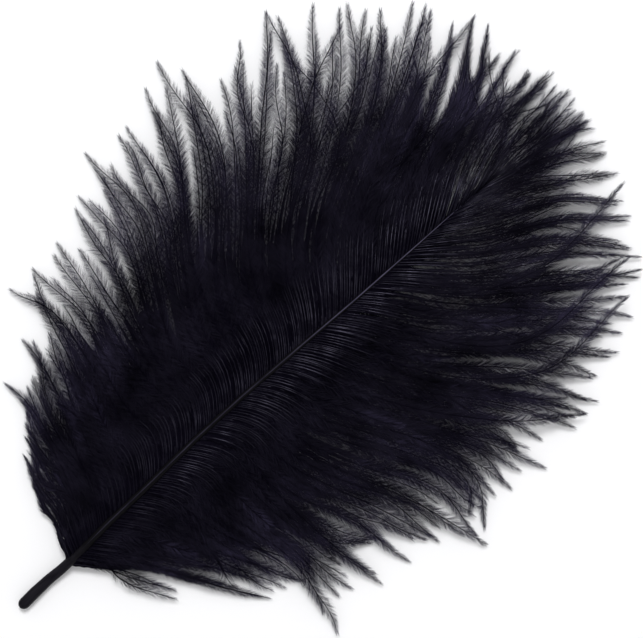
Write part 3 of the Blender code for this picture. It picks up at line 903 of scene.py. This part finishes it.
def add_shaft():
    """The quill and shaft as a round tube with a shallow flat along its top, and the ridge with its painted
    highlight on it.
    """
    y = np.concatenate([QUILL_STATIONS, np.linspace(EVEN_FROM, SHAFT[-1][0], SHAFT_STATIONS)])
    radius = along_shaft(y, 3)
    rounded = y < QUILL_ROUNDING
    depth = 1 - y[rounded] / QUILL_ROUNDING
    radius[rounded] = QUILL_RADIUS * np.sqrt(np.clip(1 - depth**2, 0.0, 1.0))
    centre = np.column_stack([along_shaft(y, 1), y, along_shaft(y, 2)])
    centre[:, 2] = np.maximum(centre[:, 2], radius + TABLE_GAP)
    angles = 2 * math.pi * np.arange(SHAFT_SIDES) / SHAFT_SIDES
    flatten = 1 - FLAT_DEPTH * np.exp(-((angles - math.pi / 2) ** 2) / FLAT_SPREAD)
    ring = np.stack([np.cos(angles), np.zeros(SHAFT_SIDES), np.sin(angles) * flatten], axis=-1)
    points = centre[:, None, :] + ring[None] * radius[:, None, None]
    dress(add_mesh("shaft", [(*tube(points), 0), (*ridge_mesh(), 1)], [shaft_material(), ridge_highlight_material()]))


def tube(points):
    """The points of rings along a tube and the quads between them."""
    rows, sides = points.shape[:2]
    index = np.arange(rows * sides).reshape(rows, sides)
    near, far = index[:-1], index[1:]
    quads = np.stack([near, far, np.roll(far, -1, axis=1), np.roll(near, -1, axis=1)], axis=-1)
    return points.reshape(-1, 3), quads.reshape(-1, 4)


def ridge_mesh():
    """The fine ridge along the top of the shaft, which carries a painted highlight."""
    y = np.linspace(RIDGE_FROM, RIDGE_TO, RIDGE_STATIONS)
    radius = along_shaft(y, 3)
    across = along_shaft(y, 1) + RIDGE_ASIDE * radius
    height = along_shaft(y, 2) + RIDGE_UP * radius
    middle = np.column_stack([across, y, height])
    narrowing = 1 - RIDGE_NARROWING * eased(y, RIDGE_NARROWS_FROM, RIDGE_TO)
    width = RIDGE_WIDTH / 2 * eased(y, RIDGE_FROM, RIDGE_FROM + RIDGE_WIDENS_OVER) * narrowing
    angles = math.pi / 2 * np.arange(4)
    ring = np.stack([np.cos(angles), np.zeros(4), RIDGE_FLATNESS * np.sin(angles)], axis=-1)
    return tube(middle[:, None, :] + ring[None] * width[:, None, None])


def node(tree, kind, **values):
    made = tree.nodes.new(kind)
    for name, value in values.items():
        made.inputs[name].default_value = value
    return made


def operation(tree, kind, second=None):
    made = tree.nodes.new("ShaderNodeMath")
    made.operation = kind
    if second is not None:
        made.inputs[1].default_value = second
    return made


def ranged(tree, values, results):
    """A node that maps one range of values to another and stays within it."""
    made = tree.nodes.new("ShaderNodeMapRange")
    for name, value in zip(("From Min", "From Max", "To Min", "To Max"), (*values, *results)):
        made.inputs[name].default_value = value
    return made


def two_shades(tree, shades, positions):
    """A ramp from a dark shade to a pale one, between two positions."""
    ramp = tree.nodes.new("ShaderNodeValToRGB")
    for element, shade, position in zip(ramp.color_ramp.elements, shades, positions):
        element.position = position
        element.color = (*shade, 1.0)
    return ramp


def dark_material(name, shades, specular, roughness, scale=90.0):
    """A near-black colour that wanders softly between two shades: dye for most parts, painted light for the
    hair ends and the ridge.
    """
    material = bpy.data.materials.new(name)
    material.use_nodes = True
    tree = material.node_tree
    shader = tree.nodes["Principled BSDF"]
    shader.inputs["Roughness"].default_value = roughness
    shader.inputs["Specular IOR Level"].default_value = specular
    place = tree.nodes.new("ShaderNodeTexCoord")
    cloud = node(tree, "ShaderNodeTexNoise", Scale=scale, Detail=3.0, Roughness=0.6)
    ramp = two_shades(tree, shades, positions=(0.32, 0.72))
    tree.links.new(place.outputs["Object"], cloud.inputs["Vector"])
    tree.links.new(cloud.outputs["Fac"], ramp.inputs["Fac"])
    tree.links.new(ramp.outputs["Color"], shader.inputs["Base Color"])
    return material


def stem_material():
    """The stems near the shaft: horn whose gloss comes in patches, strongest a little way off the shaft."""
    material = dark_material("dyed_stems", STEM_DYE, specular=0.3, roughness=0.36)
    tree = material.node_tree
    shader = tree.nodes["Principled BSDF"]
    shader.inputs["Specular Tint"].default_value = VIOLET_GLOSS
    place = tree.nodes["Texture Coordinate"]
    split = tree.nodes.new("ShaderNodeSeparateXYZ")
    centre = operation(tree, "SUBTRACT", SHAFT_LINE_X)
    distance = operation(tree, "ABSOLUTE")
    off_shaft = ranged(tree, *GLOSS_OFF_SHAFT)
    fading = {"From Min": GLOSS_FADES_FROM, "To Min": 1.0, "To Max": 0.0}
    outwards = node(tree, "ShaderNodeMapRange", **fading)
    farthest = ranged(tree, *GLOSS_END)
    upwards = ranged(tree, *GLOSS_ALONG)
    patches = node(tree, "ShaderNodeTexNoise", Scale=210.0, Detail=3.0, Roughness=0.7)
    patchy = ranged(tree, *GLOSS_PATCHES)
    near, both, gloss = (operation(tree, "MULTIPLY") for _ in range(3))
    tree.links.new(place.outputs["Object"], split.inputs["Vector"])
    tree.links.new(place.outputs["Object"], patches.inputs["Vector"])
    tree.links.new(split.outputs["X"], centre.inputs[0])
    tree.links.new(centre.outputs["Value"], distance.inputs[0])
    tree.links.new(distance.outputs["Value"], off_shaft.inputs["Value"])
    tree.links.new(distance.outputs["Value"], outwards.inputs["Value"])
    tree.links.new(split.outputs["Y"], upwards.inputs["Value"])
    tree.links.new(split.outputs["Y"], farthest.inputs["Value"])
    tree.links.new(farthest.outputs["Result"], outwards.inputs["From Max"])
    tree.links.new(patches.outputs["Fac"], patchy.inputs["Value"])
    tree.links.new(off_shaft.outputs["Result"], near.inputs[0])
    tree.links.new(outwards.outputs["Result"], near.inputs[1])
    tree.links.new(near.outputs["Value"], both.inputs[0])
    tree.links.new(upwards.outputs["Result"], both.inputs[1])
    tree.links.new(both.outputs["Value"], gloss.inputs[0])
    tree.links.new(patchy.outputs["Result"], gloss.inputs[1])
    tree.links.new(gloss.outputs["Value"], shader.inputs["Specular IOR Level"])
    return material


def scale_colour_along(material, stretch, strengths):
    """Makes a material's colour stronger or weaker along the feather, between two places along +Y."""
    tree = material.node_tree
    base_colour = tree.nodes["Principled BSDF"].inputs["Base Color"]
    colour = base_colour.links[0].from_socket
    place = tree.nodes.new("ShaderNodeTexCoord")
    split = tree.nodes.new("ShaderNodeSeparateXYZ")
    strength = ranged(tree, stretch, strengths)
    scaled = tree.nodes.new("ShaderNodeVectorMath")
    scaled.operation = "SCALE"
    tree.links.new(place.outputs["Object"], split.inputs["Vector"])
    tree.links.new(split.outputs["Y"], strength.inputs["Value"])
    tree.links.new(colour, scaled.inputs["Vector"])
    tree.links.new(strength.outputs["Result"], scaled.inputs["Scale"])
    tree.links.new(scaled.outputs["Vector"], base_colour)


def shaft_material():
    """The dyed quill: matt black horn with faint lengthwise streaks, brighter at the bare end as a painted
    sheen and darkest between the vanes.
    """
    material = bpy.data.materials.new("dyed_quill")
    material.use_nodes = True
    tree = material.node_tree
    shader = tree.nodes["Principled BSDF"]
    shader.inputs["Specular IOR Level"].default_value = 0.06
    place = tree.nodes.new("ShaderNodeTexCoord")
    stretch = node(tree, "ShaderNodeMapping", Scale=(1.0, 0.06, 1.0))
    streaks = node(tree, "ShaderNodeTexNoise", Scale=2600.0, Detail=4.0, Roughness=0.6)
    ramp = two_shades(tree, QUILL_DYE, positions=(0.35, 0.75))
    rough = ranged(tree, values=(0.0, 1.0), results=(0.32, 0.58))
    bump = node(tree, "ShaderNodeBump", Strength=0.35, Distance=0.00006)
    tree.links.new(place.outputs["Object"], stretch.inputs["Vector"])
    tree.links.new(stretch.outputs["Vector"], streaks.inputs["Vector"])
    tree.links.new(streaks.outputs["Fac"], ramp.inputs["Fac"])
    tree.links.new(streaks.outputs["Fac"], rough.inputs["Value"])
    tree.links.new(streaks.outputs["Fac"], bump.inputs["Height"])
    tree.links.new(ramp.outputs["Color"], shader.inputs["Base Color"])
    tree.links.new(rough.outputs["Result"], shader.inputs["Roughness"])
    tree.links.new(bump.outputs["Normal"], shader.inputs["Normal"])
    # Painted sheen: the colour is brighter on the bare quill than along the shaft.
    scale_colour_along(material, *QUILL_PAINTED_SHEEN)
    return material


def ridge_highlight_material():
    """The ridge of the shaft: a painted highlight, a violet-grey line of colour along its top that is
    brightest near the feather's tip.
    """
    material = dark_material("painted_highlight_ridge", RIDGE_HIGHLIGHT_SHADES, specular=0.12, roughness=0.4, scale=160.0)
    material.node_tree.nodes["Principled BSDF"].inputs["Specular Tint"].default_value = VIOLET_GLOSS
    # The painted highlight grows brighter towards the feather's tip.
    scale_colour_along(material, *RIDGE_HIGHLIGHT_STRENGTH)
    return material


def add_table():
    bpy.ops.mesh.primitive_plane_add(size=TABLE_SIZE, location=(0.0, 0.0, TABLE_HEIGHT))
    floor = bpy.context.object
    floor.name = "floor"
    material = bpy.data.materials.new("white_table")
    material.use_nodes = True
    shader = material.node_tree.nodes["Principled BSDF"]
    shader.inputs["Base Color"].default_value = TABLE_WHITE
    shader.inputs["Roughness"].default_value = 0.9
    floor.data.materials.append(material)


def add_light():
    """The light tent and the lamp above, which points at the middle of the feather."""
    world = bpy.data.worlds.new("light_tent")
    world.use_nodes = True
    world.node_tree.nodes["Background"].inputs["Color"].default_value = (1.0, 1.0, 1.0, 1.0)
    world.node_tree.nodes["Background"].inputs["Strength"].default_value = TENT_STRENGTH
    bpy.context.scene.world = world
    light = bpy.data.lights.new("overhead", "AREA")
    light.shape = "DISK"
    light.size = LAMP_SIZE
    light.energy = LAMP_POWER
    lamp = bpy.data.objects.new("overhead", light)
    lamp.location = LAMP_PLACE
    lamp.rotation_euler = (-Vector(LAMP_PLACE)).to_track_quat("-Z", "Y").to_euler()
    bpy.context.scene.collection.objects.link(lamp)


def add_camera():
    """Straight above, turned so that the shaft runs from lower left to upper right."""
    camera = bpy.data.cameras.new("camera")
    camera.lens = CAMERA_LENS
    camera.sensor_width = SENSOR_WIDTH
    holder = bpy.data.objects.new("camera", camera)
    holder.location = CAMERA_PLACE
    holder.rotation_euler = (0.0, 0.0, math.radians(CAMERA_TURN))
    bpy.context.scene.collection.objects.link(holder)
    bpy.context.scene.camera = holder


def add_vanes():
    """Both vanes, with the materials in the order of stems, stem ends, webs, hairs and hair ends that carry
    painted light shining through them.
    """
    rng = np.random.default_rng(SEED)
    materials = [
        stem_material(),
        dark_material("dyed_stem_ends", STEM_END_DYE, specular=0.0, roughness=0.6),
        dark_material("dyed_web", WEB_DYE, specular=0.0, roughness=0.85),
        dark_material("dyed_hairs", HAIR_DYE, specular=0.04, roughness=0.6),
        dark_material("hair_ends_painted_light", HAIR_END_PAINTED_LIGHT, specular=0.04, roughness=0.6),
    ]
    box = [np.array(corner) / MM + FOOTPRINT for corner in cad_bounds]
    add_vane("left", rooted(LEFT_LOCKS, LEFT_ROOTS), LEFT_STRAYS, LEFT_VANE, rng, box, materials)
    add_vane("right", rooted(RIGHT_LOCKS, RIGHT_ROOTS), RIGHT_STRAYS, RIGHT_VANE, rng, box, materials)


def main():
    add_shaft()
    add_vanes()
    add_table()
    add_light()
    add_camera()
    bpy.context.scene.view_settings.view_transform = "Standard"


main()
